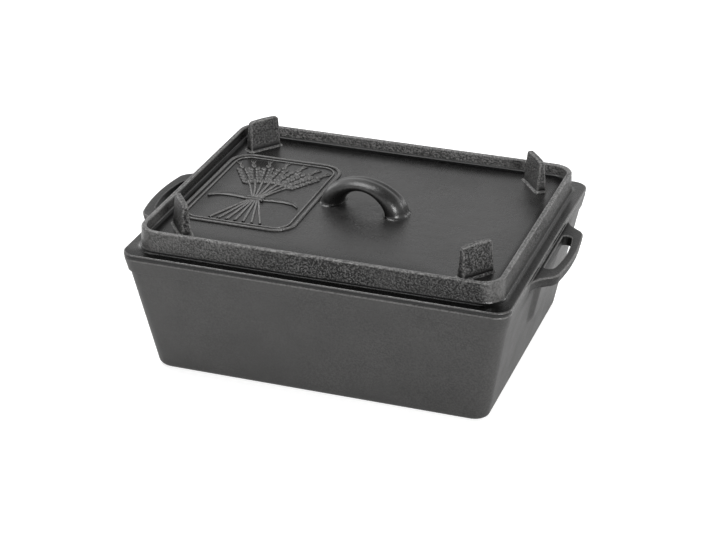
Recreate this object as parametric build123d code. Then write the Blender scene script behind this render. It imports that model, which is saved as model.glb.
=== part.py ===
from build123d import *
import os
from math import atan2, cos, degrees, pi, radians, sin, tan

# A cast iron loaf pan with a lift-off lid: two castings.
# Millimetres, +Z up, origin under the middle of the pan's flat base, +X along the long side.

# Pan
PAN_LENGTH = 364.0
PAN_WIDTH = 298.0
PAN_HEIGHT = 119.0
RIM_CORNER = 14.0
BAND_HEIGHT = 14.0
BAND_TAPER = 3.0
BAND_STEP = 1.0
WALL = 5.0
WALL_DRAFT = 10.3
WALL_TOP_CORNER = 14.0
BASE_CORNER = 12.0
BASE_ROUND = 8.0
FLOOR = 5.5
FLOOR_CORNER = 14.0
FLOOR_ROUND = 12.0
ROUND_STEPS = 4

# Ears at the pan's ends, each a crowned bar round a finger slot, with a pad on the wall under it
EAR_REACH = 27.0
EAR_DROP = 1.5
EAR_THICKNESS = 10.5
EAR_CROWN = 2.5
EAR_CROWN_WIDTH = 96.0
EAR_ROOT_WIDTH = 132.0
EAR_CORNER = 16.0
EAR_ROOT_ROUND = 18.0
SLOT_INSET = 2.5
SLOT_LENGTH = 76.0
SLOT_TAPER = 3.0
SLOT_CORNER = 4.5
BAR_WIDTH = 10.7
PAD_WIDTH = 54.0
PAD_DROP = 65.0
PAD_PROUD = 5.0
PAD_BEVEL = 3.0
PAD_STEP = 0.5

# Lid, raised rim and plate
FLANGE_THICKNESS = 4.5
FLANGE_BEVEL = 0.9
LID_RIM_INSET = 10.6
LID_RIM_HEIGHT = 21.0
LID_RIM_DRAFT = 2.0
LID_RIM_TOP = 3.4
LID_RIM_BEVEL = 0.9
LID_RIM_CORNER = 20.0
RIM_FOOT_ROUND = 3.5
TRAY_DEPTH = 10.5
TRAY_DRAFT = 8.0
TRAY_FOOT_BEVEL = 2.5
PLATE_THICKNESS = 5.0
LIP_DEPTH = 4.0
LIP_WIDTH = 3.6
LIP_CLEARANCE = 1.5
LIP_DRAFT = 4.0
HOLLOW_DRAFT = 24.0
HOLLOW_CORNER = 24.0

# Arch handle on the lid, a strap of oval section bent over the middle, set slightly askew
HANDLE_SPAN = 66.0
HANDLE_RISE = 23.0
HANDLE_FLATNESS = 0.15
HANDLE_TURN = -8.0
HANDLE_OFFSET = 2.0
STRAP_TOP_THICKNESS = 11.0
STRAP_TOP_WIDTH = 24.0
STRAP_FOOT_THICKNESS = 17.0
STRAP_FOOT_WIDTH = 28.0
STRAP_SECTIONS = 11

# Feet that carry the lid when it is turned over
FOOT_INSET_X = 43.0
FOOT_INSET_Y = 46.5
FOOT_HEIGHT = 31.0
FOOT_BASE_WIDTH = 34.5
FOOT_TOP_WIDTH = 32.5
FOOT_BASE_THICKNESS = 10.0
FOOT_TOP_THICKNESS = 5.0
FOOT_TOP_ROUND = 3.0
FOOT_ROOT_BEVEL = 2.0

# How far a body reaches into the one that it is fused to or cut from
OVERLAP = 2.0
PLAN_TOLERANCE = 0.01

# Levels and insets that follow from these sizes
BAND_LOW = PAN_HEIGHT - BAND_HEIGHT
SEAT = PAN_HEIGHT
FLANGE_TOP = SEAT + FLANGE_THICKNESS
RIM_TOP = FLANGE_TOP + LID_RIM_HEIGHT
PLATE_TOP = RIM_TOP - TRAY_DEPTH
PLATE_UNDERSIDE = PLATE_TOP - PLATE_THICKNESS


def wall_inset(z):
    """How far the pan's outer wall stands in from the rim's edge at height z."""
    return BAND_TAPER + BAND_STEP + (BAND_LOW - z) * tan(radians(WALL_DRAFT))


def cavity_inset(z):
    """How far the pan's inner wall stands in from the rim's edge at height z."""
    return wall_inset(z) + WALL / cos(radians(WALL_DRAFT))


def outline(inset, corner, z):
    """A rounded rectangle, set in from the rim's edge on all sides, at height z."""
    sketch = RectangleRounded(PAN_LENGTH - 2 * inset, PAN_WIDTH - 2 * inset, corner)
    return Pos(0, 0, z) * sketch


def tapered(*outlines):
    """The straight-sided solid through outlines given from the lowest to the highest."""
    return loft(list(outlines), ruled=True)


def edges_at(shape, z):
    """The shape's edges that lie wholly at height z."""
    return shape.edges().filter_by_position(Axis.Z, z - PLAN_TOLERANCE, z + PLAN_TOLERANCE)


def arc_levels(centre, low, radius, corner, draft, way):
    """Outlines along a quarter arc from the flat at height low up to a wall of that draft.

    centre is the inset of the arc's centre; way is -1 for a rounded edge and 1 for a hollow fillet.
    """
    levels = []
    for step in range(ROUND_STEPS + 1):
        turn = (pi / 2 - draft) * step / ROUND_STEPS
        levels.append(outline(centre + way * radius * sin(turn), corner, low + radius - radius * cos(turn)))
    return levels


def rounded_foot(inset_at, low, radius, corner):
    """Outlines that round a wall of the pan into its flat at height low."""
    draft = radians(WALL_DRAFT)
    centre = inset_at(low + radius) + radius / cos(draft)
    return arc_levels(centre, low, radius, corner, draft, -1)


def pan_outside():
    """The tapered box with its rounded bottom edge and the thicker band round its rim."""
    wall = tapered(*rounded_foot(wall_inset, 0, BASE_ROUND, BASE_CORNER),
                   outline(wall_inset(BAND_LOW), WALL_TOP_CORNER, BAND_LOW))
    band = tapered(outline(BAND_TAPER, RIM_CORNER - BAND_TAPER / 2, BAND_LOW),
                   outline(0, RIM_CORNER, PAN_HEIGHT))
    return wall + band


def pan_cavity():
    """The space inside the pan, carried past the rim so that it cuts the mouth open."""
    top = PAN_HEIGHT + OVERLAP
    return tapered(*rounded_foot(cavity_inset, FLOOR, FLOOR_ROUND, FLOOR_CORNER),
                   outline(cavity_inset(top), WALL_TOP_CORNER - WALL, top))


def ear():
    """The ear at the +X end without its slot, just below the rim's top, its draft that of the band."""
    rim = PAN_LENGTH / 2
    deep = rim - cavity_inset(PAN_HEIGHT) - OVERLAP
    tip = rim + EAR_REACH
    side = tip - EAR_CROWN
    crown = EAR_CROWN_WIDTH / 2
    root = EAR_ROOT_WIDTH / 2
    end = root + EAR_ROOT_ROUND
    bow = ThreePointArc((side, -crown), (tip, 0), (side, crown))
    rest = Polyline((side, crown), (rim, root), (rim, end), (deep, end),
                    (deep, -end), (rim, -end), (rim, -root), (side, -crown))
    plan = make_face(bow + rest)
    plan = fillet(plan.vertices().filter_by(lambda v: abs(v.X - side) < PLAN_TOLERANCE), EAR_CORNER)
    inner = plan.vertices().filter_by(lambda v: abs(v.X - rim) < PLAN_TOLERANCE and abs(v.Y) < end - 1)
    plan = fillet(inner, EAR_ROOT_ROUND)
    draft = degrees(atan2(BAND_TAPER, BAND_HEIGHT))
    plan = offset(plan, -EAR_DROP * BAND_TAPER / BAND_HEIGHT)
    return extrude(Pos(0, 0, PAN_HEIGHT - EAR_DROP) * plan, -EAR_THICKNESS, taper=draft)


def pad():
    """The pad on the end wall under the ear, proud of the wall and widening up to the ear."""
    rim = PAN_LENGTH / 2
    low = PAN_HEIGHT - PAD_DROP
    high = PAN_HEIGHT - EAR_DROP - EAR_THICKNESS + OVERLAP
    deep = rim - wall_inset(low) - WALL / 2
    sections = []
    for z, face in ((low, rim - wall_inset(low) + PAD_PROUD), (high, rim + SLOT_INSET - PAD_STEP)):
        section = Rectangle(2 * (face - deep), PAD_WIDTH)
        sections.append(Pos(deep, 0, z) * chamfer(section.vertices(), PAD_BEVEL))
    solid = loft(sections, ruled=True)
    outer = edges_at(solid, low).filter_by(lambda edge: edge.center().X > deep)
    return chamfer(outer, PAD_BEVEL)


def finger_slot():
    """The slot between the rim and the ear's bar, cut right through the ear."""
    inner = PAN_LENGTH / 2 + SLOT_INSET
    tip = PAN_LENGTH / 2 + EAR_REACH - BAR_WIDTH
    half = SLOT_LENGTH / 2
    short = half - SLOT_TAPER
    side = tip - EAR_CROWN * (SLOT_LENGTH / EAR_CROWN_WIDTH) ** 2
    bow = ThreePointArc((side, -short), (tip, 0), (side, short))
    rest = Polyline((side, short), (inner, half), (inner, -half), (side, -short))
    plan = make_face(bow + rest)
    plan = fillet(plan.vertices(), SLOT_CORNER)
    depth = EAR_THICKNESS + 2 * OVERLAP
    return extrude(Pos(0, 0, PAN_HEIGHT + OVERLAP) * plan, -depth)


def pan():
    """The pan casting: tapered box, rim band, two slotted ears with their pads, cavity."""
    end = ear() - finger_slot()
    end = end + (pad() - finger_slot())
    body = pan_outside() + end + end.mirror(Plane.YZ)
    return body - pan_cavity()


def lid_rim():
    """The solid block of the raised rim with its filleted foot, its top edge bevelled."""
    draft = radians(LID_RIM_DRAFT)
    flare = LID_RIM_INSET - RIM_FOOT_ROUND
    lean = (LID_RIM_HEIGHT - LID_RIM_BEVEL) * tan(draft)
    return tapered(outline(flare, LID_RIM_CORNER, SEAT),
                   *arc_levels(flare, FLANGE_TOP, RIM_FOOT_ROUND, LID_RIM_CORNER, draft, 1),
                   outline(LID_RIM_INSET + lean, LID_RIM_CORNER, RIM_TOP - LID_RIM_BEVEL),
                   outline(LID_RIM_INSET + lean + LID_RIM_BEVEL, LID_RIM_CORNER, RIM_TOP))


def tray():
    """The space inside the raised rim above the plate, bevelled at its foot and at its mouth."""
    mouth = LID_RIM_INSET + LID_RIM_HEIGHT * tan(radians(LID_RIM_DRAFT)) + LID_RIM_TOP
    foot_line = mouth + TRAY_DEPTH * tan(radians(TRAY_DRAFT))
    corner = LID_RIM_CORNER - LID_RIM_TOP
    return tapered(outline(foot_line + TRAY_FOOT_BEVEL, corner - TRAY_FOOT_BEVEL, PLATE_TOP),
                   outline(foot_line, corner, PLATE_TOP + TRAY_FOOT_BEVEL),
                   outline(mouth, corner, RIM_TOP - LID_RIM_BEVEL),
                   outline(mouth - LID_RIM_BEVEL, corner, RIM_TOP))


def lid_shell():
    """The lid without handle and feet: flange, raised rim, tray above and hollow with lip below."""
    flange = extrude(outline(0, RIM_CORNER, SEAT), FLANGE_THICKNESS)
    flange = chamfer(edges_at(flange, FLANGE_TOP), FLANGE_BEVEL)
    mouth = cavity_inset(PAN_HEIGHT)
    mouth_corner = WALL_TOP_CORNER - WALL
    lip_low = SEAT - LIP_DEPTH
    lip_lean = LIP_DEPTH * tan(radians(LIP_DRAFT))
    lip = tapered(outline(mouth + LIP_CLEARANCE + lip_lean, mouth_corner, lip_low),
                  outline(mouth + LIP_CLEARANCE, mouth_corner, SEAT))
    lip_inner = mouth + LIP_CLEARANCE + LIP_WIDTH
    hollow_inset = lip_inner + (PLATE_UNDERSIDE - lip_low) * tan(radians(HOLLOW_DRAFT))
    hollow = tapered(outline(lip_inner, mouth_corner, lip_low),
                     outline(hollow_inset, HOLLOW_CORNER, PLATE_UNDERSIDE))
    return flange + lid_rim() + lip - tray() - hollow


def handle():
    """The arch handle: oval sections, wide across the arch, set along a slightly flattened half ellipse."""
    half = HANDLE_SPAN / 2
    sections = []
    for step in range(STRAP_SECTIONS):
        turn = pi * step / (STRAP_SECTIONS - 1)
        share = cos(turn) ** 2
        thick = STRAP_TOP_THICKNESS + (STRAP_FOOT_THICKNESS - STRAP_TOP_THICKNESS) * share
        wide = STRAP_TOP_WIDTH + (STRAP_FOOT_WIDTH - STRAP_TOP_WIDTH) * share
        rise = HANDLE_RISE * sin(turn) * (1 - HANDLE_FLATNESS * share)
        climb = HANDLE_RISE * cos(turn) * (1 + HANDLE_FLATNESS * (2 - 3 * share))
        plane = Plane(origin=(half * cos(turn), 0, PLATE_TOP + rise), x_dir=(0, 1, 0),
                      z_dir=(-half * sin(turn), 0, climb))
        sections.append(plane * Ellipse(wide / 2, thick / 2))
    arch = loft(sections)
    for end in (sections[0], sections[-1]):
        arch += extrude(end, OVERLAP, dir=(0, 0, -1))
    return Pos(HANDLE_OFFSET, 0, 0) * Rot(0, 0, HANDLE_TURN) * arch


def foot():
    """One foot at the +X +Y corner: a flat tapering lug, square to the line from the centre."""
    share = FOOT_ROOT_BEVEL / FOOT_HEIGHT
    neck_thick = FOOT_BASE_THICKNESS + (FOOT_TOP_THICKNESS - FOOT_BASE_THICKNESS) * share
    neck_wide = FOOT_BASE_WIDTH + (FOOT_TOP_WIDTH - FOOT_BASE_WIDTH) * share
    root = Rectangle(neck_thick + 2 * FOOT_ROOT_BEVEL, neck_wide + 2 * FOOT_ROOT_BEVEL)
    neck = Pos(0, 0, FOOT_ROOT_BEVEL) * Rectangle(neck_thick, neck_wide)
    top = Pos(0, 0, FOOT_HEIGHT) * Rectangle(FOOT_TOP_THICKNESS, FOOT_TOP_WIDTH)
    lug = loft([neck, top], ruled=True)
    lug = fillet(edges_at(lug, FOOT_HEIGHT).filter_by(Axis.X), FOOT_TOP_ROUND)
    lug = lug + tapered(root, neck)
    along = PAN_LENGTH / 2 - FOOT_INSET_X
    across = PAN_WIDTH / 2 - FOOT_INSET_Y
    turn = degrees(atan2(across, along))
    return Pos(along, across, PLATE_TOP) * Rot(0, 0, turn) * lug


def lid():
    """The lid casting: shell, arch handle and four feet."""
    pair = foot() + foot().mirror(Plane.YZ)
    return lid_shell() + pair + pair.mirror(Plane.XZ) + handle()


os.makedirs("parts", exist_ok=True)
export_step(pan(), "parts/pan.step")
export_step(lid(), "parts/lid.step")
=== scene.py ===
"""Looks of the cast iron loaf pan with its lift-off lid.

The shape functions work in millimetres in the frame's own axes; lay() turns them into metres.
An inset says how far something lies inside the edge of the pan's rim, and a corner is the
radius of a rounded rectangle seen from above.
"""

import math

import bpy
import numpy as np
from mathutils import Matrix, Vector


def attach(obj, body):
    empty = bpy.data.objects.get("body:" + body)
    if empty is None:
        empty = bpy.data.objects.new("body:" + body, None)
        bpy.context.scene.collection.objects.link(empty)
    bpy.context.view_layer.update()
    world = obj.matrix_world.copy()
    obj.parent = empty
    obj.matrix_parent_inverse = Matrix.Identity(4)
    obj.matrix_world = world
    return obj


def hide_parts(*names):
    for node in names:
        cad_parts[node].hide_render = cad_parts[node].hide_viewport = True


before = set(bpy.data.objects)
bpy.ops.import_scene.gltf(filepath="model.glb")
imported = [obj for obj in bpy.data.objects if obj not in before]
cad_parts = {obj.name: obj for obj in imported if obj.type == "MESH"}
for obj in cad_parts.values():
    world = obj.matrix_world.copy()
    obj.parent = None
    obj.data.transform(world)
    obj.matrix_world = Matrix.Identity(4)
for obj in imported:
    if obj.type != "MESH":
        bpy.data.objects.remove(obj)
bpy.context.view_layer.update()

# Pan: rim and band
HALF_LENGTH = 182.0
HALF_WIDTH = 149.0
SEAT = 119.0
RIM_CORNER = 14.0
RIM_ROUND = 1.5
BAND_LOW = SEAT - 14.0
BAND_TAPER = 3.0
BAND_STEP = 1.0
BAND_CORNER = 13.0
BAND_ROUND = 0.45
BAND_HOLLOW = 0.5

# Pan: walls, base and floor
WALL_DRAFT = math.tan(math.radians(10.3))
WALL = 5.08
WALL_CORNER = 14.0
MOUTH_CORNER = 9.0
BASE_CORNER = 12.0
BASE_ROUND = 8.0
BASE_RING_INSET = 60.0
BASE_RING_CORNER = 8.0
FLOOR = 5.5
FLOOR_CORNER = 14.0
FLOOR_ROUND = 12.0
FLOOR_RING_INSET = 90.0
FLOOR_RING_CORNER = 10.0
PAN_SPACING = 2.0

# Pads on the end walls: a leaning plane, and a rounded rectangle that bounds it
PAD_REACH = 172.7
PAD_REACH_HEIGHT = 54.0
PAD_LEAN = 0.205
PAD_HALF_WIDTH = 24.5
PAD_FOOT = 56.5
PAD_CORNER = 10.0
PAD_BLEND = (-0.5, 8.5)
PAD_FADE = (SEAT - 8.5, SEAT - 4.5)
END_ZONE = 150.0

# Ears: bars round a finger slot, their tips crowned, the left one reaching further as cast
EAR_TOP = SEAT - 1.5
EAR_BOTTOM = EAR_TOP - 10.5
EAR_MIDDLE = (EAR_TOP + EAR_BOTTOM) / 2
EAR_TIP = 208.3
EAR_UNEVEN = 2.0
EAR_CROWN = 5.5
EAR_CROWN_BLEND = (196.0, 203.0)
EAR_HALF_TIP = 49.0
EAR_HALF_ROOT = 65.0
EAR_HALF_SPREAD = 88.0
EAR_ROOT_AT = 180.9
EAR_BURIED_AT = 176.0
EAR_BURIED_BLEND = (176.5, 180.5)
EAR_CORNER = 11.0
EAR_ROOT_ROUND = 25.0
EAR_EDGE_ROUND = 1.8
EAR_DRAFT = 2.3
EAR_WAIST = 1.15
EAR_STATIONS = (60, 34, 34, 60)
SLOT_BEHIND = 8.2
SLOT_TIP_BEHIND = 3.4
SLOT_CROWN = 4.8
SLOT_CROWN_HALF = 36.0
SLOT_CROWN_BLEND = (189.0, 194.0)
SLOT_HALF_TIP = 35.0
SLOT_HALF_ROOT = 38.0
SLOT_ROOT_AT = 184.5
SLOT_TIP_ROUND = 3.5
SLOT_ROOT_ROUND = 2.8
SLOT_EDGE_ROUND = 1.2
SLOT_DRAFT = 0.5
SLOT_WAIST = 0.3

# Lid: locating lip and hollow
LIP_LOW = SEAT - 4.0
LIP_INSET = 8.04
LIP_LOW_INSET = 8.32
LIP_CORNER = 9.0
LIP_ROUND = 0.8
LIP_ROOT_ROUND = 0.6
LIP_BACK_INSET = 11.64
LIP_BACK_CORNER = 12.0
HOLLOW_INSET = 17.87
HOLLOW_CORNER = 24.0
HOLLOW_ROUND = 4.0
UNDER_RING_INSET = 60.0
UNDER_RING_CORNER = 20.0

# Lid: flange, raised rim, tray and plate
FLANGE_TOP = SEAT + 4.5
FLANGE_LOW_ROUND = 1.6
FLANGE_TOP_ROUND = 1.2
RIM_TOP = FLANGE_TOP + 21.0
RIM_FOOT_INSET = 10.75
RIM_TOP_INSET = 11.35
RAISED_CORNER = 20.0
RIM_FOOT_ROUND = 3.6
RIM_TOP_ROUND = 1.4
TRAY_TOP_INSET = 15.9
TRAY_TOP_CORNER = 16.5
TRAY_INSET = 17.0
TRAY_CORNER = 16.0
TRAY_ROUND = 3.8
PLATE = RIM_TOP - 10.5
PLATE_UNDER = PLATE - 5.0
PLATE_RING_INSET = 60.0
PLATE_RING_CORNER = 14.0
LID_SPACING = 3.0

# Feet on the lid, and how far they and the handle are sunk into the plate
FOOT_AT = (HALF_LENGTH - 43.0, HALF_WIDTH - 46.5)
FOOT_HEIGHT = 31.0
FOOT_HALF_WIDTH = 17.25
FOOT_NARROWS = 1.0
FOOT_HALF_THICKNESS = 5.0
FOOT_THINS = 2.5
FOOT_CORNER = 1.7
FOOT_ROOT_ROUND = 2.2
FOOT_SHOULDER = 3.0
FOOT_BROW = 1.3
FOOT_CROWN = 0.7
FOOT_CROWN_HALF = 15.0
FOOT_SKIRT = 0.4
SUNK = 0.12

# Arch handle on the lid; the seam's curves are height over the radius, middle and width in degrees
ARCH_HALF = 33.0
ARCH_RISE = 23.0
ARCH_FLATNESS = 0.15
ARCH_TURN = math.radians(-8.0)
ARCH_OFFSET = 2.0
ARCH_HALF_THICKNESS = 5.5
ARCH_THICKENS = 5.0
ARCH_HALF_WIDTH = 12.0
ARCH_WIDENS = 2.0
ARCH_ROOT_ROUND = 3.0
ARCH_STEPS = 52
ARCH_SIDES = 120
SEAM_RIDGE = (0.055, 26.0, 9.0)
SEAM_GROOVE = (0.075, 4.0, 10.0)

# Stations round a rounded rectangle: fine on the end walls where the pads' sides run
END_CORE = 40.0
LONG_CORE = 60.0
CORE_SHARE = 0.8
PAD_SIDE = np.linspace(PAD_HALF_WIDTH, PAD_HALF_WIDTH + 7.2, 10)
END_INNER = np.concatenate([[0, 6, 11, 15, 18, 21, 23], PAD_SIDE, [32.6, 34, 37, 40]]) / END_CORE
END_OUTER = np.linspace(1.2, 2, 5)
END_STATIONS = np.concatenate([-END_OUTER[::-1], -END_INNER[:0:-1], END_INNER, END_OUTER])
LONG_STATIONS = np.linspace(-2, 2, 17)
CORNER_ANGLES = np.linspace(0, 90, 17)[1:-1]
TOWARDS_MIDDLE = (0.7, 0.35, 0.02)


# Shapes shared by the pieces

def smooth(low, high, value):
    """Smoothstep from 0 at low to 1 at high, also where high is the smaller one."""
    t = np.clip((value - low) / (high - low), 0, 1)
    return t * t * (3 - 2 * t)


def joined(*coordinates):
    """Points from their coordinates, which are spread to one shape and put side by side."""
    return np.stack(np.broadcast_arrays(*coordinates), -1)


def columns(*values):
    """Numbers or lists spread to one length, each as a column."""
    return [np.asarray(v, float).reshape(-1, 1) for v in np.broadcast_arrays(*values)]


def corner_arc(a, b, r, z, quarter, angles):
    """A corner of a rounded rectangle: its centre plus r times (cos, sin) of the angles."""
    sign_x, sign_y = ((1, 1), (-1, 1), (-1, -1), (1, -1))[quarter]
    turn = np.radians(quarter * 90 + angles)
    return joined(sign_x * (a - r) + r * np.cos(turn), sign_y * (b - r) + r * np.sin(turn), z)


def rounded_rings(a, b, r, z):
    """Rounded rectangles of half length a, half width b, corner r at height z, one row each.

    A straight side's stations keep their place inside a core and spread evenly outside it;
    the corners are arcs of evenly spaced angles.
    """
    a, b, r, z = columns(a, b, r, z)

    def side(stations, reach, core):
        core = np.minimum(core, reach * CORE_SHARE)
        inner = np.clip(stations, -1, 1) * core
        outer = np.sign(stations) * np.maximum(np.abs(stations) - 1, 0) * (reach - core)
        return inner + outer

    y = side(END_STATIONS, b - r, END_CORE)
    x = side(LONG_STATIONS, a - r, LONG_CORE)
    parts = []
    for quarter, (side_x, side_y) in enumerate(((a, y), (x[:, ::-1], b), (-a, y[:, ::-1]), (x, -b))):
        parts.append(joined(side_x, side_y, z))
        parts.append(corner_arc(a, b, r, z, quarter, CORNER_ANGLES))
    return np.concatenate(parts, axis=1)


def rounded_line(points, radii, steps=8, support=0.4, spacing=None):
    """A polyline whose corners become arcs.

    Each arc of the given radius is tangent to both its legs, with one more point a little way
    along each leg; columns past the first two are carried along unchanged. Legs longer than
    spacing are divided evenly.
    """
    points = np.asarray(points, float)
    out = [points[0]]
    for before, corner, after, radius in zip(points[:-2], points[1:-1], points[2:], radii):
        if radius <= 0:
            out.append(corner)
            continue
        to_before = before[:2] - corner[:2]
        to_after = after[:2] - corner[:2]
        long_before, long_after = np.hypot(*to_before), np.hypot(*to_after)
        to_before, to_after = to_before / long_before, to_after / long_after
        half = math.acos(np.clip(to_before @ to_after, -1, 1)) / 2
        reach = radius / math.tan(half)
        middle = to_before + to_after
        centre = corner[:2] + middle / np.hypot(*middle) * radius / math.sin(half)
        first, last = corner[:2] + to_before * reach, corner[:2] + to_after * reach
        start = math.atan2(*(first - centre)[::-1])
        sweep = (math.atan2(*(last - centre)[::-1]) - start + math.pi) % (2 * math.pi) - math.pi
        turn = start + sweep * np.linspace(0, 1, steps + 1)
        arc = centre + radius * np.stack([np.cos(turn), np.sin(turn)], 1)
        lead_in = first + to_before * min(support, (long_before - reach) / 2)
        lead_out = last + to_after * min(support, (long_after - reach) / 2)
        arc = np.concatenate([[lead_in], arc, [lead_out]])
        out.extend(np.concatenate([arc, np.tile(corner[2:], (len(arc), 1))], 1))
    out.append(points[-1])
    line = np.array(out)
    if spacing:
        pieces = []
        for p, q in zip(line[:-1], line[1:]):
            count = max(1, int(np.hypot(*(q - p)[:2]) / spacing))
            pieces.append(p + (q - p) * np.linspace(0, 1, count, endpoint=False)[:, None])
        line = np.concatenate(pieces + [line[-1:]])
    return line


def closed_path(points, radii):
    """A closed polygon with rounded corners, as a dense line."""
    points = np.asarray(points, float)
    start = (points[-1] + points[0]) / 2
    ring = np.concatenate([[start], points, [start]])
    return rounded_line(ring, radii, steps=14, support=0.0, spacing=0.6)[:-1]


def resampled(path, anchors, counts):
    """Points on a closed line, evenly spaced by length between the places nearest the anchors."""
    picks = [int(np.argmin(np.hypot(*(path - anchor).T))) for anchor in anchors]
    path = np.roll(path, -picks[0], axis=0)
    picks = [(pick - picks[0]) % len(path) for pick in picks] + [len(path)]
    path = np.concatenate([path, path[:1]])
    length = np.concatenate([[0], np.cumsum(np.hypot(*np.diff(path, axis=0).T))])
    marks = []
    for start, end, count in zip(picks[:-1], picks[1:], counts):
        marks.append(np.linspace(length[start], length[end], count, endpoint=False))
    marks = np.concatenate(marks)
    return np.stack([np.interp(marks, length, path[:, k]) for k in (0, 1)], 1)


def outward(path):
    """Unit normals of a closed anticlockwise line, pointing away from what it encloses."""
    along = np.roll(path, -1, axis=0) - np.roll(path, 1, axis=0)
    normal = np.stack([along[:, 1], -along[:, 0]], 1)
    return normal / np.hypot(*normal.T)[:, None]


def shrunk(ring, factors):
    """Copies of a ring drawn in towards its middle by the factors."""
    middle = ring.mean(0)
    return middle + (ring - middle) * np.asarray(factors)[:, None, None]


def profile_rings(rows, spacing):
    """Rings of a casting from the rows of its profile: inset, height, corner and rounding.

    The profile's bends become arcs of their rounding, and each point of that line becomes a
    rounded rectangle at its inset. The points' insets and heights come with the rings.
    """
    rows = np.asarray(rows, float)
    inset, z, corner = rounded_line(rows[:, :3], rows[1:-1, 3], spacing=spacing).T
    return rounded_rings(HALF_LENGTH - inset, HALF_WIDTH - inset, corner, z), inset, z


def with_flats(rings):
    """The rings with more at both ends, drawn in towards the middle of the flats there."""
    first = shrunk(rings[0], TOWARDS_MIDDLE[::-1])
    last = shrunk(rings[-1], TOWARDS_MIDDLE)
    return np.concatenate([first, rings, last])


def for_rings(values, first, last):
    """One value per ring as a column, with first and last for the rings that with_flats adds."""
    count = len(TOWARDS_MIDDLE)
    return np.concatenate([[first] * count, values, [last] * count])[:, None]


def bend(points, loop):
    """Curvature in 1/mm at each point of a grid, and how far its normal points up.

    The curvature is the turn of the line along the rows over the mean length of its two steps,
    plus the same along the columns, read along the grid's own normal.
    """
    total = 0
    course = []
    for axis in (-2, -3):
        back, on = points - np.roll(points, 1, axis), np.roll(points, -1, axis) - points
        long_back, long_on = [np.linalg.norm(v, axis=-1, keepdims=True) + 1e-6 for v in (back, on)]
        total = total + 2 * (on / long_on - back / long_back) / (long_back + long_on)
        course.append(back + on)
    normal = np.cross(*course)
    normal = normal / (np.linalg.norm(normal, axis=-1, keepdims=True) + 1e-9)
    value = (total * normal).sum(-1)
    if not loop:
        value[:, [0, -1]] = 0
    return value, normal[..., 2]


def lay(name, points, material, body, grain_and_shade=0.0, wear_and_highlight=0.0, loop=False, replaces=None):
    """A mesh from a (rows, columns, 3) array in millimetres, or from a stack of such arrays.

    Columns always wrap round. Rows wrap too if loop is set; otherwise each end is closed with a
    pole at its middle. The faces are turned outwards by the sign of the enclosed volume. The
    mesh carries two values: grain, how rough the sand left it together with painted light and
    shade, and edge, how sharply it is convex, less by a smoothstep where it looks down, plus how
    much it is worn; the edge value is thus partly wear and partly a painted highlight on edges
    that face up.
    """
    spread = points.shape[:-1]
    grain_and_shade, wear_and_highlight = [np.broadcast_to(np.asarray(v, float), spread).reshape(-1) for v in (grain_and_shade, wear_and_highlight)]
    points = points.reshape((-1,) + points.shape[-3:])
    count, rows, across = points.shape[:3]
    index = np.arange(count * rows * across).reshape(count, rows, across)
    low = index if loop else index[:, :-1]
    high = np.roll(index, -1, axis=1) if loop else index[:, 1:]
    quads = np.stack([low, np.roll(low, -1, 2), np.roll(high, -1, 2), high], -1).reshape(-1, 4)
    verts = points.reshape(-1, 3)
    edge, upward = [v.reshape(-1) for v in bend(points, loop)]
    tris = np.zeros((0, 3), int)
    if not loop:
        pole = len(verts) + np.arange(count)[:, None] + np.zeros(across, int)
        verts = np.concatenate([verts, points[:, 0].mean(1), points[:, -1].mean(1)])
        grain_and_shade = np.concatenate([grain_and_shade, grain_and_shade[index[:, 0, 0]], grain_and_shade[index[:, -1, 0]]])
        edge, upward, wear_and_highlight = [np.concatenate([v, np.zeros(2 * count)]) for v in (edge, upward, wear_and_highlight)]
        first, last = index[:, 0], index[:, -1]
        tris = np.concatenate([
            np.stack([np.roll(first, -1, 1), first, pole], -1).reshape(-1, 3),
            np.stack([last, np.roll(last, -1, 1), pole + count], -1).reshape(-1, 3)])
    halves = np.concatenate([quads[:, [0, 1, 2]], quads[:, [0, 2, 3]], tris])
    a, b, c = verts[halves[:, 0]], verts[halves[:, 1]], verts[halves[:, 2]]
    if (a * np.cross(b, c)).sum() < 0:
        quads, tris = quads[:, ::-1], tris[:, ::-1]
        upward = -upward
    else:
        edge = -edge
    # partly wear, partly painted highlight: convex edges facing up are made paler, plus the wear and
    # highlight given
    edge_wear_and_highlight = np.clip(edge, -1, 1) * smooth(-0.4, 0.1, upward) + wear_and_highlight
    mesh = bpy.data.meshes.new(name)
    mesh.from_pydata((verts * 0.001).tolist(), [], quads.tolist() + tris.tolist())
    mesh.polygons.foreach_set("use_smooth", np.ones(len(mesh.polygons), bool))
    for label, values in (("grain_and_shade", grain_and_shade), ("edge", edge_wear_and_highlight)):
        attribute = mesh.attributes.new(label, "FLOAT", "POINT")
        attribute.data.foreach_set("value", values.astype(np.float32))
    mesh.materials.append(material)
    piece = bpy.data.objects.new(name, mesh)
    bpy.context.scene.collection.objects.link(piece)
    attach(piece, body)
    if replaces:
        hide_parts(replaces)
    return piece


# Finishes; nearly all of a noise's values lie within its span

NOISE_SPAN = (0.3, 0.7)


def faded(nodes, links, value, span, result):
    """A value led from one span of numbers to another."""
    node = nodes.new("ShaderNodeMapRange")
    for label, limit in zip(("From Min", "From Max", "To Min", "To Max"), span + result):
        node.inputs[label].default_value = limit
    links.new(value, node.inputs["Value"])
    return node.outputs["Result"]


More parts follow.
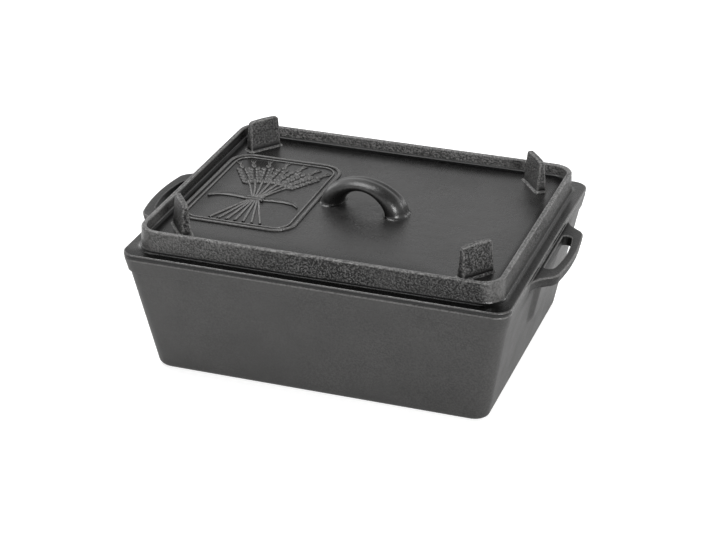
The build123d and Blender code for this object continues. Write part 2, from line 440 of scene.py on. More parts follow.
def cast_iron(name, shade, rough, ior, fine, coarse, tone, lift):
    """Seasoned cast iron: mottled shade, satin gloss that varies, bump from three noises.

    The mesh's grain value says how rough the sand left each face, and also carries painted light
    and shade: it weights the coarse bump, the speckle, which comes in patches, and the lift, which
    makes the face paler, or darker if it is negative. A grain below nought is painted shade, dark
    and nearly without gloss, laid in hollows, at feet and on shaded sides. The mesh's edge value
    is partly wear, where handling has rubbed the seasoning thin, and partly painted highlight on
    upward edges and lit faces; what it marks is paler, smoother and broken up by the sand.
    """
    material = bpy.data.materials.new(name)
    material.use_nodes = True
    nodes, links = material.node_tree.nodes, material.node_tree.links
    shader = nodes["Principled BSDF"]
    place = nodes.new("ShaderNodeTexCoord").outputs["Object"]

    def noise(size, detail, roughness):
        node = nodes.new("ShaderNodeTexNoise")
        node.inputs["Scale"].default_value = 1000.0 / size
        node.inputs["Detail"].default_value = detail
        node.inputs["Roughness"].default_value = roughness
        links.new(place, node.inputs["Vector"])
        return node.outputs["Fac"]

    def ramp(value, span, result):
        return faded(nodes, links, value, span, result)

    def combine(operation, first, second):
        node = nodes.new("ShaderNodeMath")
        node.operation = operation
        for socket, value in zip(node.inputs, (first, second)):
            if isinstance(value, (int, float)):
                socket.default_value = value
            else:
                links.new(value, socket)
        return node.outputs[0]

    def add(first, second):
        return combine("ADD", first, second)

    def times(first, second):
        return combine("MULTIPLY", first, second)

    def carried(label):
        node = nodes.new("ShaderNodeAttribute")
        node.attribute_name = label
        return node.outputs["Fac"]

    grain_and_shade, edge = carried("grain_and_shade"), carried("edge")
    cloud = noise(size=34.0, detail=4.0, roughness=0.55)
    patch = noise(size=75.0, detail=2.0, roughness=0.55)
    sand = noise(size=1.75, detail=2.0, roughness=0.6)
    pores = noise(size=0.85, detail=2.0, roughness=0.5)

    least_sand, most_paling, darkest, rubbed_and_highlight_paling = 0.04, 0.8, 0.1, 0.09
    patches = ramp(patch, (0.4, 0.6), (0.5, 1.2))
    strength = times(patches, add(combine("MAXIMUM", grain_and_shade, 0.0), least_sand))
    speckle = times(ramp(sand, (0.36, 0.64), (-1.7, 1.35)), strength)
    # partly wear, partly painted highlight: rubbed edges and lit faces are paler and smoother
    rubbed_and_highlit = times(ramp(edge, (0.12, 0.7), (0.0, 1.0)), ramp(sand, (0.35, 0.6), (0.45, 1.0)))
    mottle = add(add(ramp(cloud, NOISE_SPAN, (-tone, tone)), speckle), 1.0)
    mottle = combine("MAXIMUM", mottle, darkest)
    # painted light and shade: the grain value makes a face paler, or darker where it is negative
    paler = add(times(combine("MINIMUM", grain_and_shade, most_paling), lift), 1.0)
    level = add(times(times(mottle, paler), shade), times(rubbed_and_highlit, rubbed_and_highlight_paling))
    tint = nodes.new("ShaderNodeCombineColor")
    for socket, warmth in zip(("Red", "Green", "Blue"), (1.015, 1.0, 0.985)):
        links.new(times(level, warmth), tint.inputs[socket])
    links.new(tint.outputs["Color"], shader.inputs["Base Color"])

    cloud_change, pore_change, grain_change, rubbed_change = 0.05, 0.04, 0.16, 0.12
    gloss = add(ramp(cloud, NOISE_SPAN, (rough - cloud_change, rough + cloud_change)),
                ramp(pores, NOISE_SPAN, (-pore_change, pore_change)))
    touched = combine("SUBTRACT", times(grain_and_shade, grain_change), times(rubbed_and_highlit, rubbed_change))
    links.new(add(gloss, touched), shader.inputs["Roughness"])
    # painted shade: a negative grain value also takes away most of the reflection
    links.new(ramp(grain_and_shade, (-0.3, 0.0), (0.12, 0.5)), shader.inputs["Specular IOR Level"])
    shader.inputs["Metallic"].default_value = 0.0
    shader.inputs["IOR"].default_value = ior

    cloud_height = 0.55
    rough_sand = times(ramp(sand, NOISE_SPAN, (0.0, 1.0)), strength)
    height = add(times(rough_sand, coarse), times(pores, fine))
    height = add(height, times(cloud, cloud_height))
    bump = nodes.new("ShaderNodeBump")
    bump.inputs["Strength"].default_value = 1.0
    bump.inputs["Distance"].default_value = 0.001
    links.new(height, bump.inputs["Height"])
    links.new(bump.outputs["Normal"], shader.inputs["Normal"])
    return material


pan_iron = cast_iron("pan_iron", shade=0.058, rough=0.42, ior=1.4,
                     fine=0.05, coarse=0.5, tone=0.10, lift=-1.5)
lid_iron = cast_iron("lid_iron", shade=0.009, rough=0.28, ior=1.4,
                     fine=0.06, coarse=0.85, tone=0.25, lift=5.2)
handle_iron = cast_iron("handle_iron", shade=0.009, rough=0.31, ior=1.5,
                        fine=0.04, coarse=0.4, tone=0.20, lift=1.0)


# Pan

def wall_inset(z):
    """Inset of the pan's outer wall at height z."""
    return BAND_TAPER + BAND_STEP + (BAND_LOW - z) * WALL_DRAFT


def pan_shell():
    """The pan's closed skin: one profile carried round the rounded rectangle.

    The profile runs from the middle of the base out to its rounded edge, up the drafted wall
    and the band, over the rim and down the inner wall to the middle of the floor. On the end
    walls it is pushed out to the pad's plane, times a smoothstep of the distance to a rounded
    rectangle and one that fades it out under the rim. The wall under the ears is made rougher
    and darker, a painted shade, and the outer wall is painted a little darker towards the right.
    """
    rings, _, z = profile_rings([
        (BASE_RING_INSET, 0, BASE_RING_CORNER, 0),
        (wall_inset(0), 0, BASE_CORNER, BASE_ROUND),
        (BAND_TAPER + BAND_STEP, BAND_LOW, WALL_CORNER, BAND_HOLLOW),
        (BAND_TAPER, BAND_LOW, BAND_CORNER, BAND_ROUND),
        (0, SEAT, RIM_CORNER, RIM_ROUND),
        (wall_inset(SEAT) + WALL, SEAT, MOUTH_CORNER, RIM_ROUND),
        (wall_inset(FLOOR) + WALL, FLOOR, FLOOR_CORNER, FLOOR_ROUND),
        (FLOOR_RING_INSET, FLOOR, FLOOR_RING_CORNER, 0)], PAN_SPACING)
    outside = np.arange(len(z)) <= np.argmax(z)
    x, y, height = np.moveaxis(rings, -1, 0)
    plane = PAD_REACH + (height - PAD_REACH_HEIGHT) * PAD_LEAN
    proud = np.maximum(plane - np.abs(x), 0)
    beside = np.maximum(np.abs(y) - (PAD_HALF_WIDTH - PAD_CORNER), 0)
    below = np.maximum(PAD_FOOT + PAD_CORNER - height, 0)
    away = np.hypot(beside, below) - PAD_CORNER
    share = (1 - smooth(*PAD_BLEND, away)) * (1 - smooth(*PAD_FADE, height))
    on_end = (np.abs(x) > END_ZONE) & (np.abs(y) < END_CORE) & outside[:, None]
    rings[..., 0] = x + np.sign(x) * proud * share * on_end

    rings = with_flats(rings)
    x, y, height = np.moveaxis(rings, -1, 0)
    # painted shade: the wall under the ears is darkened; the outer wall is painted darker towards the right
    shaded_behind_ear = smooth(END_ZONE, 160, np.abs(x)) * smooth(84, 70, np.abs(y)) * smooth(90, 101, height)
    wall_grain_and_shade = 0.06 + 0.06 * x / HALF_LENGTH + 0.45 * shaded_behind_ear
    inner_grain = 0.16
    grain_and_shade = np.where(for_rings(outside, True, False), wall_grain_and_shade, inner_grain)
    return lay("pan_shell", rings, pan_iron, "pan", grain_and_shade=grain_and_shade, replaces="pan")


def crown(path, rise, half, blend):
    """Bow the outer end of an ear's line in place: a parabola of that rise over the half width."""
    bow = rise * np.clip(1 - (path[:, 1] / half) ** 2, 0, 1)
    path[:, 0] += bow * smooth(*blend, path[:, 0])


def ear_outline(reach):
    """The ear's outline from above, with its inner run inside the pan's rim."""
    square = reach - EAR_CROWN
    outline = closed_path(
        [(square, -EAR_HALF_TIP), (square, EAR_HALF_TIP),
         (EAR_ROOT_AT, EAR_HALF_ROOT), (EAR_ROOT_AT, EAR_HALF_SPREAD),
         (EAR_BURIED_AT, EAR_HALF_SPREAD), (EAR_BURIED_AT, -EAR_HALF_SPREAD),
         (EAR_ROOT_AT, -EAR_HALF_SPREAD), (EAR_ROOT_AT, -EAR_HALF_ROOT)],
        [EAR_CORNER, EAR_CORNER, EAR_ROOT_ROUND, 0, 0, 0, 0, EAR_ROOT_ROUND])
    crown(outline, EAR_CROWN, EAR_HALF_TIP, EAR_CROWN_BLEND)
    root_x, root_y = 184.0, EAR_HALF_ROOT - 2
    anchors = [(reach, 0), (root_x, root_y), (EAR_BURIED_AT, 0), (root_x, -root_y)]
    return resampled(outline, anchors, EAR_STATIONS)


def ear_slot(reach):
    """The finger slot's outline from above, its outer side crowned like the ear's tip."""
    square = reach - EAR_CROWN
    outer = square - SLOT_BEHIND
    slot = closed_path(
        [(outer, -SLOT_HALF_TIP), (outer, SLOT_HALF_TIP),
         (SLOT_ROOT_AT, SLOT_HALF_ROOT), (SLOT_ROOT_AT, -SLOT_HALF_ROOT)],
        [SLOT_TIP_ROUND, SLOT_TIP_ROUND, SLOT_ROOT_ROUND, SLOT_ROOT_ROUND])
    crown(slot, SLOT_CROWN, SLOT_CROWN_HALF, SLOT_CROWN_BLEND)
    end_x, end_y = 190.0, SLOT_HALF_ROOT
    anchors = [(square - SLOT_TIP_BEHIND, 0), (end_x, end_y), (SLOT_ROOT_AT, 0), (end_x, -end_y)]
    return resampled(slot, anchors, EAR_STATIONS)


def ear_edge(radius, draft, upper):
    """A rounded edge of the ear's section, as rows of depth and height.

    A quarter circle leads from the drafted side onto the top or the underside, and one more
    point lies a little further in on that flat.
    """
    turn = np.radians(np.linspace(0, 90, 7))
    short = radius - radius * np.sin(turn)
    height = EAR_TOP - short if upper else EAR_BOTTOM + short
    depth = radius * (1 - np.cos(turn)) + draft * (EAR_TOP - height) / (EAR_TOP - EAR_BOTTOM)
    return np.stack([np.append(depth, depth[-1] + 0.5), np.append(height, height[-1])], 1)


def ear(name, side):
    """An ear: a rounded bar section carried round its finger slot.

    Each station pairs a point of the slot with one of the ear's outline; the section goes over
    the top from one to the other, down the drafted outside and back underneath. The sand left
    it rougher in the slot than outside; the ear is darker than the wall, and the slot is painted
    much darker still, a painted shade.
    """
    reach = EAR_TIP - EAR_UNEVEN * side
    slot, outline = ear_slot(reach), ear_outline(reach)
    slot_side = np.concatenate([
        ear_edge(SLOT_EDGE_ROUND, SLOT_DRAFT, upper=False)[::-1], [(SLOT_WAIST, EAR_MIDDLE)],
        ear_edge(SLOT_EDGE_ROUND, SLOT_DRAFT, upper=True)])
    outer_side = np.concatenate([
        ear_edge(EAR_EDGE_ROUND, EAR_DRAFT, upper=True)[::-1], [(EAR_WAIST, EAR_MIDDLE)],
        ear_edge(EAR_EDGE_ROUND, EAR_DRAFT, upper=False)])
    halves = (slot, outward(slot), slot_side), (outline, -outward(outline), outer_side)
    rows = []
    for path, into_bar, section in halves:
        free = smooth(*EAR_BURIED_BLEND, path[:, :1])[:, None]
        plan = path[:, None] + into_bar[:, None] * section[None, :, :1] * free
        height = np.broadcast_to(section[None, :, 1:], plan.shape[:2] + (1,))
        rows.append(np.concatenate([plan, height], -1))
    points = np.concatenate(rows, axis=1)
    points[..., 0] *= side
    # painted shade: the slot is made much darker than the ear's outside
    slot_grain_and_shade, outer_grain = 0.62, 0.45
    grain_and_shade = np.repeat([slot_grain_and_shade, outer_grain], [len(slot_side), len(outer_side)])
    return lay(name, points, pan_iron, "pan", grain_and_shade=grain_and_shade, loop=True)


# Lid

def lid_finish(rings, inset, z):
    """The grain and the wear of the lid's skin, with painted light and shade, first ring by ring
    and then by place.

    Up to its top the profile has the flange, painted dark as a painted shade, and the sandy front
    of the raised rim; after it come the tray's sandy wall, a painted shade at its foot and the
    plate, painted dark near the wall and painted paler, with more reflection, towards its middle
    and its right. The sand fades by smoothsteps at the corners, towards both ends of the front
    wall and low on the end walls, where the wall's foot is painted darker; the flange's shade is
    lighter on the end walls. The corners and the front wall's left are made paler and smoother,
    partly wear and partly painted light. The tray's wall and the end walls above the flange are
    painted paler, a painted light. The front wall's sand is painted darker towards its right and
    the tray's left wall is painted dark, a painted shade.
    """
    inside = np.arange(len(z)) > np.argmax(z)
    rising = ~inside & (z > FLANGE_TOP + 2)
    flange = ~inside & (z > SEAT + 1) & (inset > 1.4) & ~rising
    plate = inside & (z < PLATE + 0.1) & (inset > 19)
    # painted shade at the foot of the tray's wall
    tray_grain_and_shade = 1.0 - 1.25 * smooth(PLATE + 2.2, PLATE + 0.8, z)
    # painted shade on the plate near the tray's wall, fading towards the middle
    plate_grain_and_shade = 0.1 - 0.35 * smooth(27, 21, inset) - 0.26 * smooth(64, 27, inset)
    # painted shade: the flange below the raised rim is darkened
    grain_and_shade = np.where(rising, 1.0, np.where(flange, -0.2, 0.0))
    grain_and_shade = np.where(inside, tray_grain_and_shade, grain_and_shade)
    grain_and_shade = for_rings(np.where(plate, plate_grain_and_shade, grain_and_shade), 0.3, 0.13)
    flange, plate = for_rings(flange, False, False), for_rings(plate, False, False)

    x, y, height = np.moveaxis(rings, -1, 0)
    sandy = grain_and_shade > 0.5
    at_corner = smooth(END_ZONE, 166, np.abs(x)) * smooth(110, 130, np.abs(y))
    at_end = smooth(145, 155, np.abs(x)) * smooth(140, 128, -y)
    leftward = smooth(0, -140, x) * smooth(0, -100, y)
    rightward = smooth(40, 110, x) * smooth(0, -100, y)
    above = smooth(FLANGE_TOP + 1, FLANGE_TOP + 8, height)
    tray_wall = for_rings(np.where(inside, smooth(PLATE + 1.5, PLATE + 3, z), 0), 0, 0) * (x > -END_ZONE)
    left_wall = (x < -END_ZONE) & (x > 15.5 - HALF_LENGTH) & (np.abs(y) < HALF_WIDTH - 16) & (height > PLATE)

    # painted light on the tray's wall and the end walls; at the corners and the front wall's left partly
    # wear, partly painted light
    wear_and_highlight = np.max([0.9 * at_corner, 0.6 * leftward, 0.4 * tray_wall, 0.25 * at_end * above], axis=0)
    # painted light and shade on the sand: less speckle at the left and corners, darker towards the front
    # wall's right and low on the end walls
    sand_light_and_shade = (1.15 - 0.7 * leftward - 0.5 * rightward) * (1 - 0.8 * at_corner)
    grain_and_shade = np.where(sandy, sand_light_and_shade * (1 - at_end + at_end * above), grain_and_shade)
    # painted shade on the tray's left wall
    grain_and_shade = np.where(sandy & left_wall, -0.1, grain_and_shade)
    # painted reflection: the plate is paler and glossier towards its right
    grain_and_shade = np.where(plate, grain_and_shade + 0.24 * smooth(90, 150, x), grain_and_shade)
    # the flange's painted shade is lighter on the end walls
    grain_and_shade = np.where(flange, grain_and_shade + at_end * (0.3 - 0.2 * (height > FLANGE_TOP + 0.3)), grain_and_shade)
    return grain_and_shade, np.where(sandy, wear_and_highlight, 0)


def lid_shell():
    """The lid's closed skin: one profile carried round the rounded rectangle.

    It runs from the middle of the underside down the hollow to the locating lip, across the
    seat to the flange, up the raised rim with its hollow foot, over its narrow top and down
    the tray to the middle of the plate.
    """
    rings, inset, z = profile_rings([
        (UNDER_RING_INSET, PLATE_UNDER, UNDER_RING_CORNER, 0),
        (HOLLOW_INSET, PLATE_UNDER, HOLLOW_CORNER, HOLLOW_ROUND),
        (LIP_BACK_INSET, LIP_LOW, LIP_BACK_CORNER, LIP_ROUND),
        (LIP_LOW_INSET, LIP_LOW, LIP_CORNER, LIP_ROUND),
        (LIP_INSET, SEAT, LIP_CORNER, LIP_ROOT_ROUND),
        (0, SEAT, RIM_CORNER, FLANGE_LOW_ROUND),
        (0, FLANGE_TOP, RIM_CORNER, FLANGE_TOP_ROUND),
        (RIM_FOOT_INSET, FLANGE_TOP, RAISED_CORNER, RIM_FOOT_ROUND),
        (RIM_TOP_INSET, RIM_TOP, RAISED_CORNER, RIM_TOP_ROUND),
        (TRAY_TOP_INSET, RIM_TOP, TRAY_TOP_CORNER, RIM_TOP_ROUND),
        (TRAY_INSET, PLATE, TRAY_CORNER, TRAY_ROUND),
        (PLATE_RING_INSET, PLATE, PLATE_RING_CORNER, 0)], LID_SPACING)
    rings = with_flats(rings)
    grain_and_shade, wear_and_highlight = lid_finish(rings, inset, z)
    return lay("lid_shell", rings, lid_iron, "lid", grain_and_shade=grain_and_shade, wear_and_highlight=wear_and_highlight, replaces="lid")


def small_rings(a, b, r, z):
    """Rounded rectangles for the feet: a corner's evenly spaced angles, then a side's stations."""
    a, b, r, z = columns(a, b, r, z)
    step = 1 - 2 * np.linspace(0, 1, 8)[1:-1]
    sides = ((a - r) * step, b), (-a, (b - r) * step), ((r - a) * step, -b), (a, (r - b) * step)
    parts = []
    for quarter, (side_x, side_y) in enumerate(sides):
        parts.append(corner_arc(a, b, r, z, quarter, np.linspace(0, 90, 9)))
        parts.append(joined(side_x, side_y, z))
    return np.concatenate(parts, axis=1)


def hollow_root(radius, steps):
    """A hollow fillet at a root: heights and outward spreads along a quarter circle."""
    turn = np.radians(np.linspace(0, 90, steps))
    return radius * (1 - np.cos(turn)), radius * (1 - np.sin(turn))


def rounded_off(size, z, radius):
    """A foot's half size less a circle's share over the last radius below its top."""
    over = np.clip(z - (FOOT_HEIGHT - radius), 0, radius)
    return size - (radius - np.sqrt(radius ** 2 - over ** 2))


def foot(name, side_x, side_y):
    """A foot: a flat tapering lug, its flat square to the line from the lid's middle.

    Rings rise from a hollow fillet on the plate; half width and half thickness taper evenly,
    and each loses a circle's share near the top, which rounds the shoulders and the top edge.
    The top falls off to both sides by a parabola. The fillet is painted bright, a painted
    highlight, and a band just above it is painted dark, a painted shade.
    """
    low, spread = hollow_root(FOOT_ROOT_ROUND, 8)
    upright = np.linspace(FOOT_ROOT_ROUND, FOOT_HEIGHT - FOOT_SHOULDER, 6)
    shoulder = FOOT_HEIGHT - FOOT_SHOULDER + FOOT_SHOULDER * np.sin(np.radians(np.linspace(8, 90, 14)))
    brow = FOOT_HEIGHT - FOOT_BROW + FOOT_BROW * np.sin(np.radians(np.linspace(20, 90, 6)))
    z = np.unique(np.concatenate([low, upright, shoulder, brow]).round(4))
    wide = rounded_off(FOOT_HALF_WIDTH - FOOT_NARROWS * z / FOOT_HEIGHT, z, FOOT_SHOULDER)
    thick = rounded_off(FOOT_HALF_THICKNESS - FOOT_THINS * z / FOOT_HEIGHT, z, FOOT_BROW)
    out = np.interp(z, low, spread)
    corner = np.minimum(FOOT_CORNER, thick - 0.1) + out
    rings = small_rings(thick + out, wide + out, corner, z)
    skirt = [size[:1] + FOOT_SKIRT for size in (thick + out, wide + out, corner)]
    rings = np.concatenate([small_rings(*skirt, -SUNK), rings, shrunk(rings[-1], [0.5])])
    share = np.clip(rings[..., 2], 0, None) / FOOT_HEIGHT
    rings[..., 2] -= FOOT_CROWN * (rings[..., 1] / FOOT_CROWN_HALF) ** 2 * share ** 4

    along, across, rise = np.moveaxis(rings, -1, 0)
    heading = math.atan2(FOOT_AT[1], FOOT_AT[0])
    x = along * math.cos(heading) - across * math.sin(heading) + FOOT_AT[0]
    y = along * math.sin(heading) + across * math.cos(heading) + FOOT_AT[1]
    # painted shade in a band just above the root, painted highlight on the root fillet
    grain_and_shade = 1.15 - 1.3 * smooth(0.8, 2.0, rise) * smooth(8.0, 3.0, rise)
    wear_and_highlight = 0.15 + 0.7 * smooth(1.4, 0.7, rise)
    points = joined(x * side_x, y * side_y, rise + PLATE)
    return lay(name, points, lid_iron, "lid", grain_and_shade=grain_and_shade, wear_and_highlight=wear_and_highlight)


def bell(angle, height, middle, width):
    """A bell curve: height times e to the minus square of the way to its middle over its width."""
    return height * np.exp(-((angle - middle) / width) ** 2)


def arch_handle():
    """The arch handle: an oval section carried along a slightly flattened half ellipse.

    Half thickness and half width grow towards the feet with the square of the cosine of the
    way along; near the plate both also grow by a hollow fillet's circle. The oval is raised by
    one bell curve and lowered by another beside it, which lies across the start of the turn:
    the low seam where the mould halves met, along the back of the top. The whole arch is then
    turned a little about the upright and moved to its place. Its inner side is painted dark and
    nearly without gloss, a painted shade.
    """
    low, spread = hollow_root(ARCH_ROOT_ROUND, 9)
    root = np.arcsin(low / ARCH_RISE / (1 - ARCH_FLATNESS))
    free = np.linspace(root[-1], math.pi - root[-1], ARCH_STEPS + 2)[1:-1]
    way = np.concatenate([root, free, math.pi - root[::-1]])
    out = np.concatenate([spread, np.zeros(ARCH_STEPS), spread[::-1]])
    share = np.cos(way) ** 2
    thick = ARCH_HALF_THICKNESS + ARCH_THICKENS * share + out
    wide = ARCH_HALF_WIDTH + ARCH_WIDENS * share + out
    height = ARCH_RISE * np.sin(way) * (1 - ARCH_FLATNESS * share)
    along_x = -ARCH_HALF * np.sin(way)
    along_z = ARCH_RISE * np.cos(way) * (1 + ARCH_FLATNESS * (2 - 3 * share))
    size = np.hypot(along_x, along_z)
    out_x, out_z = along_z / size, -along_x / size

    angle = np.linspace(0, 360, ARCH_SIDES, endpoint=False)
    groove = bell(angle, *SEAM_GROOVE) + bell(angle - 360, *SEAM_GROOVE)
    seam = 1 + bell(angle, *SEAM_RIDGE) - groove
    cos, sin = np.cos(np.radians(angle)) * seam, np.sin(np.radians(angle)) * seam
    x = ARCH_HALF * np.cos(way)[:, None] + (out_x * thick)[:, None] * cos
    y = wide[:, None] * sin
    z = PLATE + height[:, None] + (out_z * thick)[:, None] * cos
    z[[0, -1]] = PLATE - SUNK
    turned_x = x * math.cos(ARCH_TURN) - y * math.sin(ARCH_TURN) + ARCH_OFFSET
    turned_y = x * math.sin(ARCH_TURN) + y * math.cos(ARCH_TURN)
    # painted shade on the handle's inner side
    grain_and_shade = 0.12 - 0.4 * smooth(0.1, -0.5, cos)
    return lay("arch_handle", joined(turned_x, turned_y, z), handle_iron, "lid", grain_and_shade=grain_and_shade)


# Relief on the left half of the plate: a tied wheat sheaf in a double frame

SHEAF_X, TIE_Y = -101.0, -18.0
STALKS = 7
STALK_FOOT = -70.0
STALK_LENGTH = 97.0
STALK_SHORTENS = 0.06
STALKS_HALF_TIE = 3.4
TOP_SPREAD = 0.36
TOP_BEND = 0.0036
FOOT_SPREAD = 0.42
GRAIN_PAIRS = 5
GRAIN_PITCH = 7.2
GRAIN_ASIDE = 3.5
GRAIN_TURN = 0.42
AWN_LENGTH = 9.0
AWN_LEAN = 0.28
LEAF_REACH = 40.0
LEAF_RISE = 30.0
LEAF_DROOP = 34.0
LEAF_HALF_WIDTH = 4.4
TIE_HALF_LENGTH = 9.0
TIE_HALF_GAP = 2.2
TIE_DROOP = 1.2
FRAME_HALF = (56.0, 79.0)
FRAME_CORNER = 20.0
FRAME_GAP = 5.5
FRAME_STATIONS = (70, 70, 70, 70)


def relief(name, points, loop=False):
    """A raised form on the plate, from arrays in millimetres above the plate's top.

    Its grain rises by a smoothstep from a painted shade at the foot, dark and nearly without gloss, to bare
    casting on the crown.
    """
    # painted shade at the foot of the relief
    rise = points[..., 2] / points[..., 2].max()
    points = points + np.array([0, 0, PLATE])
    return lay(name, points, lid_iron, "lid", grain_and_shade=0.35 - 0.65 * smooth(0.8, 0.3, rise), loop=loop)


def ridge(path, half_width, height, crest=(0.85, 1.0, 0.85), closed=False):
    """A raised bar along a plan line: at each station a low crested section square to the line.

    path is (..., stations, 2); half width and height are numbers or one value per station.
    """
    step = np.roll(path, -1, -2) - np.roll(path, 1, -2) if closed else np.gradient(path, axis=-2)
    across = joined(-step[..., 1], step[..., 0]) / np.hypot(step[..., 0], step[..., 1])[..., None]
    side = np.array([-1.15, -1.0, -0.6, 0.0, 0.6, 1.0, 1.15])
    rise = np.array([-0.25, 0.35, *crest, 0.35, -0.25])
    half_width = np.broadcast_to(half_width, path.shape[:-1])[..., None]
    height = np.broadcast_to(height, path.shape[:-1])[..., None]
    plan = path[..., None, :] + across[..., None, :] * (half_width * side)[..., None]
    return np.concatenate([plan, (height * rise)[..., None]], -1)


def stalk_lines():
    """Plan lines of the stalks: each straight from a spread foot to the tie, then a parabola."""
    fan = np.linspace(-1, 1, STALKS)[:, None]
    t = np.linspace(0, 1, 40)[None]
    y = STALK_FOOT + STALK_LENGTH * t * (1 - STALK_SHORTENS * fan ** 2)
    rise = y - TIE_Y
    spread = np.where(rise > 0, TOP_SPREAD * rise + TOP_BEND * rise ** 2, -FOOT_SPREAD * rise)
    return joined(SHEAF_X + fan * (STALKS_HALF_TIE + spread), y)


def kernels(places, headings, length, width, height):
    """Wheat grains: an almond outline, pointed at both ends, stepped in and up to a crown."""
    angle = np.linspace(0, 2 * math.pi, 14, endpoint=False)
    outline = joined(0.5 * np.cos(angle), 0.5 * np.sin(angle) * (1 - 0.45 * np.cos(angle) ** 2))
    share, rise = np.array([(1.06, -0.2), (1.0, 0.3), (0.84, 0.72), (0.5, 0.96), (0.2, 1.0)]).T
    ring = share[:, None, None] * outline * np.array([length, width])
    along = joined(np.cos(headings), np.sin(headings))
    across = joined(-along[:, 1], along[:, 0])
    turned = ring[..., :1] * along[:, None, None] + ring[..., 1:] * across[:, None, None]
    plan = places[:, None, None] + turned
    return joined(plan[..., 0], plan[..., 1], (rise * height)[:, None])


def wheat_ears(lines):
    """The stalks' ears: paired grains along each stalk's course, one at the tip, then awns."""
    tops = lines[:, -1]
    course = tops - lines[:, -4]
    course /= np.hypot(course[:, 0], course[:, 1])[:, None]
    aside = joined(-course[:, 1], course[:, 0])
    heading = np.arctan2(course[:, 1], course[:, 0])
    pair = np.arange(GRAIN_PAIRS) * GRAIN_PITCH
    middle = tops[:, None] + course[:, None] * (pair[None, :, None] - 4.0)
    left = middle + aside[:, None] * GRAIN_ASIDE
    right = middle - aside[:, None] * GRAIN_ASIDE
    tip = tops + course * (pair[-1] + 3.6)
    places = np.concatenate([left.reshape(-1, 2), right.reshape(-1, 2), tip])
    left_turn, right_turn = [np.repeat(heading + turn, GRAIN_PAIRS) for turn in (GRAIN_TURN, -GRAIN_TURN)]
    turns = np.concatenate([left_turn, right_turn, heading])
    relief("wheat_grains", kernels(places, turns, length=9.8, width=5.4, height=2.0))

    run = np.linspace(0, 1, 8)[None, None, :, None]
    start = tip[:, None] + course[:, None] * 3.5
    way = course[:, None] + aside[:, None] * np.array([-AWN_LEAN, 0.0, AWN_LEAN])[None, :, None]
    awns = start[:, :, None] + way[:, :, None] * run * AWN_LENGTH
    relief("awns", ridge(awns, half_width=0.8 * (1 - 0.5 * run[..., 0]), height=1.2))


def leaves():
    """Two leaves: each leaves the tie along a power curve and arches over outwards."""
    side = np.array([-1.0, 1.0])[:, None]
    t = np.linspace(0, 1, 30)[None]
    x = SHEAF_X + side * (5 + LEAF_REACH * np.sin(t * 1.7) * t ** 0.6)
    y = TIE_Y - 4 + LEAF_RISE * t - LEAF_DROOP * t ** 2.2
    half_width = 0.6 + LEAF_HALF_WIDTH * np.sin(math.pi * t ** 0.8)
    relief("leaves", ridge(joined(x, y), half_width, height=1.8, crest=(1.0, 0.5, 1.0)))


def tie():
    """The tie: two short bars across the stalks, their ends drawn down by a parabola."""
    bar = np.linspace(-1, 1, 16)
    bands = []
    for middle in (TIE_Y - TIE_HALF_GAP, TIE_Y + TIE_HALF_GAP):
        bands.append(joined(SHEAF_X + TIE_HALF_LENGTH * bar, middle - TIE_DROOP * bar ** 2))
    relief("tie", ridge(np.stack(bands), half_width=1.9, height=2.6))


def wheat_sheaf():
    """The sheaf: stalks, their ears of paired grains with awns, two leaves and the tie."""
    lines = stalk_lines()
    relief("stalks", ridge(lines, half_width=1.25, height=1.5))
    wheat_ears(lines)
    leaves()
    tie()


def frame_bar(name, gap, half_width, height):
    """One ridge of the frame, along a rounded rectangle drawn in by the gap."""
    half_x, half_y = FRAME_HALF[0] - gap, FRAME_HALF[1] - gap
    corners = [(half_x, -half_y), (half_x, half_y), (-half_x, half_y), (-half_x, -half_y)]
    line = closed_path(corners, [FRAME_CORNER - gap] * 4)
    line = resampled(line, [(half_x, 0), (0, half_y), (-half_x, 0), (0, -half_y)], FRAME_STATIONS)
    relief(name, ridge(line + np.array([SHEAF_X, 0]), half_width, height, closed=True), loop=True)


pan_shell()
ear("ear_right", 1)
ear("ear_left", -1)
lid_shell()
arch_handle()
wheat_sheaf()
frame_bar("frame_outer", 0.0, half_width=1.9, height=1.9)
frame_bar("frame_inner", FRAME_GAP, half_width=1.0, height=1.4)
foot("foot_front_right", 1, -1)
foot("foot_front_left", -1, -1)
foot("foot_back_right", 1, 1)
foot("foot_back_left", -1, 1)


# Floor, backdrop light and lamps, in metres

FLOOR_HALF = 8.0
FLOOR_LEVEL = -0.0002
FLOOR_SHADE = 0.6
FLOOR_MIRRORED = 0.3
WORLD_LIGHT = 0.3
WHITE = (1, 1, 1, 1)
AIM = (0, 0, 0.1)


def shown(nodes, links, plain, mirrored, seen):
    """A strength with one value for matt light, one for mirror light and one for what is looked at."""
    path = nodes.new("ShaderNodeLightPath")
    level = plain
    rays = ("Is Glossy Ray", mirrored), ("Is Transmission Ray", mirrored), ("Is Camera Ray", seen)
    for ray, value in rays:
        pick = nodes.new("ShaderNodeMapRange")
        for end, strength in (("To Min", level), ("To Max", value)):
            if isinstance(strength, float):
                pick.inputs[end].default_value = strength
            else:
                links.new(strength, pick.inputs[end])
        links.new(path.outputs[ray], pick.inputs["Value"])
        level = pick.outputs["Result"]
    return level


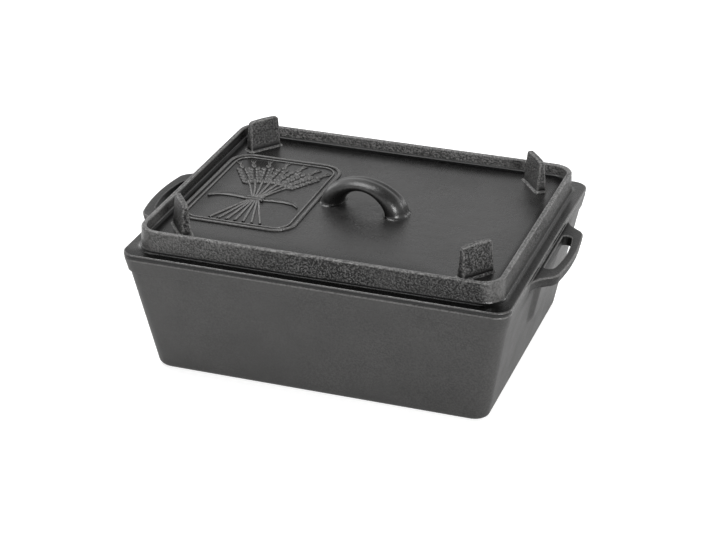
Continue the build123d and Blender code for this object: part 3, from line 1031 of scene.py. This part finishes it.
def floor():
    """A wide pale floor; it is seen near white, ever whiter away from the middle, with the
    object's soft shadow on it."""
    mesh = bpy.data.meshes.new("floor")
    corners = [(x * FLOOR_HALF, y * FLOOR_HALF, FLOOR_LEVEL) for x, y in ((-1, -1), (1, -1), (1, 1), (-1, 1))]
    mesh.from_pydata(corners, [], [(0, 1, 2, 3)])
    piece = bpy.data.objects.new("floor", mesh)
    bpy.context.scene.collection.objects.link(piece)
    material = bpy.data.materials.new("floor_white")
    material.use_nodes = True
    nodes, links = material.node_tree.nodes, material.node_tree.links
    nodes.remove(nodes["Principled BSDF"])
    matte = nodes.new("ShaderNodeBsdfDiffuse")
    matte.inputs["Color"].default_value = (FLOOR_SHADE, FLOOR_SHADE, FLOOR_SHADE, 1)
    glow = nodes.new("ShaderNodeEmission")
    glow.inputs["Color"].default_value = WHITE
    away = nodes.new("ShaderNodeVectorMath")
    away.operation = "LENGTH"
    links.new(nodes.new("ShaderNodeTexCoord").outputs["Object"], away.inputs[0])
    seen = faded(nodes, links, away.outputs["Value"], (0.35, 1.3), (0.68, 1.0))
    links.new(shown(nodes, links, 0.0, FLOOR_MIRRORED, seen), glow.inputs["Strength"])
    both = nodes.new("ShaderNodeAddShader")
    links.new(matte.outputs[0], both.inputs[0])
    links.new(glow.outputs[0], both.inputs[1])
    links.new(both.outputs[0], nodes["Material Output"].inputs["Surface"])
    mesh.materials.append(material)
    return piece


def backdrop():
    """The world: plain grey light for matt surfaces, white where it is seen; mirrored, it is
    white low down and falls off by a ramp towards a darker ceiling."""
    world = bpy.data.worlds.new("studio")
    bpy.context.scene.world = world
    world.use_nodes = True
    nodes, links = world.node_tree.nodes, world.node_tree.links
    background = nodes["Background"]
    background.inputs["Color"].default_value = WHITE
    way = nodes.new("ShaderNodeSeparateXYZ")
    links.new(nodes.new("ShaderNodeTexCoord").outputs["Generated"], way.inputs["Vector"])
    ceiling = faded(nodes, links, way.outputs["Z"], (0.5, 0.8), (1.0, 0.3))
    links.new(shown(nodes, links, WORLD_LIGHT, ceiling, 1.0), background.inputs["Strength"])


def lamp(name, place, size, watts):
    """A square soft box at its place, turned to the middle of the pan."""
    light = bpy.data.lights.new(name, "AREA")
    light.shape = "SQUARE"
    light.size = size
    light.energy = watts
    piece = bpy.data.objects.new(name, light)
    way = Vector(AIM) - Vector(place)
    piece.matrix_world = Matrix.Translation(place) @ way.to_track_quat("-Z", "Y").to_matrix().to_4x4()
    bpy.context.scene.collection.objects.link(piece)


# Camera as fitted to the view: degrees, metres, and the lens in pixels of the picture's width

AZIMUTH, ELEVATION, ROLL = 18.79, 26.10, 0.363
CAMERA_AIM = (-0.00336, -0.00280, 0.06886)
CAMERA_DISTANCE = 1.9808
SENSOR_WIDTH = 36.0
LENS_PIXELS = 2089.4
PICTURE_PIXELS = 716


def camera():
    """The camera: its axes from azimuth, elevation and roll, its place back along its view."""
    turn, rise, roll = math.radians(AZIMUTH), math.radians(ELEVATION), math.radians(ROLL)
    back = Vector((math.sin(turn) * math.cos(rise), -math.cos(turn) * math.cos(rise), math.sin(rise)))
    place = Vector(CAMERA_AIM) + back * CAMERA_DISTANCE
    right = (-back).cross(Vector((0, 0, 1))).normalized()
    up = right.cross(-back)
    right, up = right * math.cos(roll) + up * math.sin(roll), up * math.cos(roll) - right * math.sin(roll)
    data = bpy.data.cameras.new("camera")
    data.sensor_fit = "HORIZONTAL"
    data.sensor_width = SENSOR_WIDTH
    data.lens = SENSOR_WIDTH * LENS_PIXELS / PICTURE_PIXELS
    piece = bpy.data.objects.new("camera", data)
    axes = Matrix((right, up, back)).transposed().to_4x4()
    piece.matrix_world = Matrix.Translation(place) @ axes
    bpy.context.scene.collection.objects.link(piece)
    bpy.context.scene.camera = piece


floor()
backdrop()
lamp("soft_top", (-0.45, 0.1, 1.35), size=0.85, watts=18)
lamp("soft_front", (2.3, -2.3, 1.5), size=1.0, watts=98)
lamp("soft_back_right", (1.15, 1.0, 0.65), size=0.42, watts=4)
lamp("soft_back_left", (-1.4, 0.85, 0.55), size=0.6, watts=3)
camera()
bpy.context.scene.view_settings.view_transform = "Standard"
